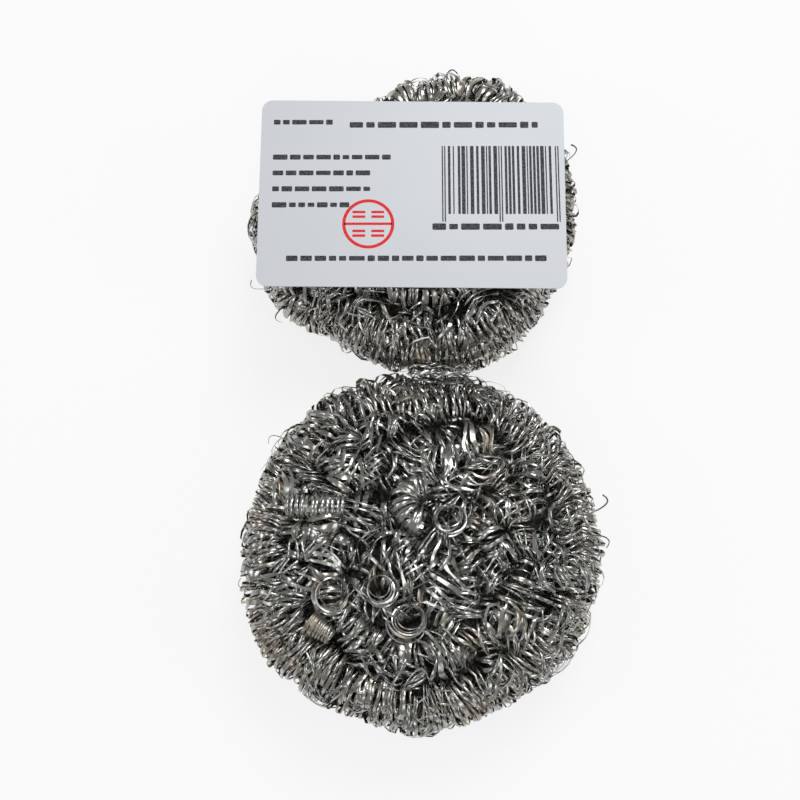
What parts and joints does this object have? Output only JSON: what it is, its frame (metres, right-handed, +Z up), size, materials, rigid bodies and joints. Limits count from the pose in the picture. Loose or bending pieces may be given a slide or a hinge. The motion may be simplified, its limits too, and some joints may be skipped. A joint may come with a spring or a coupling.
{
  "type": "pot scrubber",
  "caption": "Flattened scouring balls of tangled, curly flat stainless-steel wire with a loose rounded paper label card, for scrubbing pots.",
  "frame": {"origin": "middle of the lower scourer's underside, on the surface that both scourers rest on", "axes": "+Y from the lower scourer to the upper one, +Z up, +X to the right as seen in the picture"},
  "size_m": [0.094, 0.1803, 0.0389],
  "materials": {
    "wire_wool": "matte",
    "steel_wire": "satin",
    "card": "satin"
  },
  "bodies": {
    "lower_scourer": {"lower_core": "wire_wool", "lower_strand": "steel_wire", "lower_open_coil": "steel_wire", "lower_ring_coils": "steel_wire", "lower_pinched_coil": "steel_wire", "lower_tight_coil": "steel_wire"},
    "upper_scourer": {"upper_core": "wire_wool", "upper_strand": "steel_wire"},
    "label": {"label_card": "card"}
  },
  "joints": [
    {"name": "upper_lift", "type": "slide", "parent": "lower_scourer", "child": "upper_scourer", "axis": [0, 0, 1], "range_m": [0, 0.08]},
    {"name": "card_lift", "type": "slide", "parent": "upper_scourer", "child": "label", "axis": [0, 0, 1], "range_m": [0, 0.06]}
  ]
}
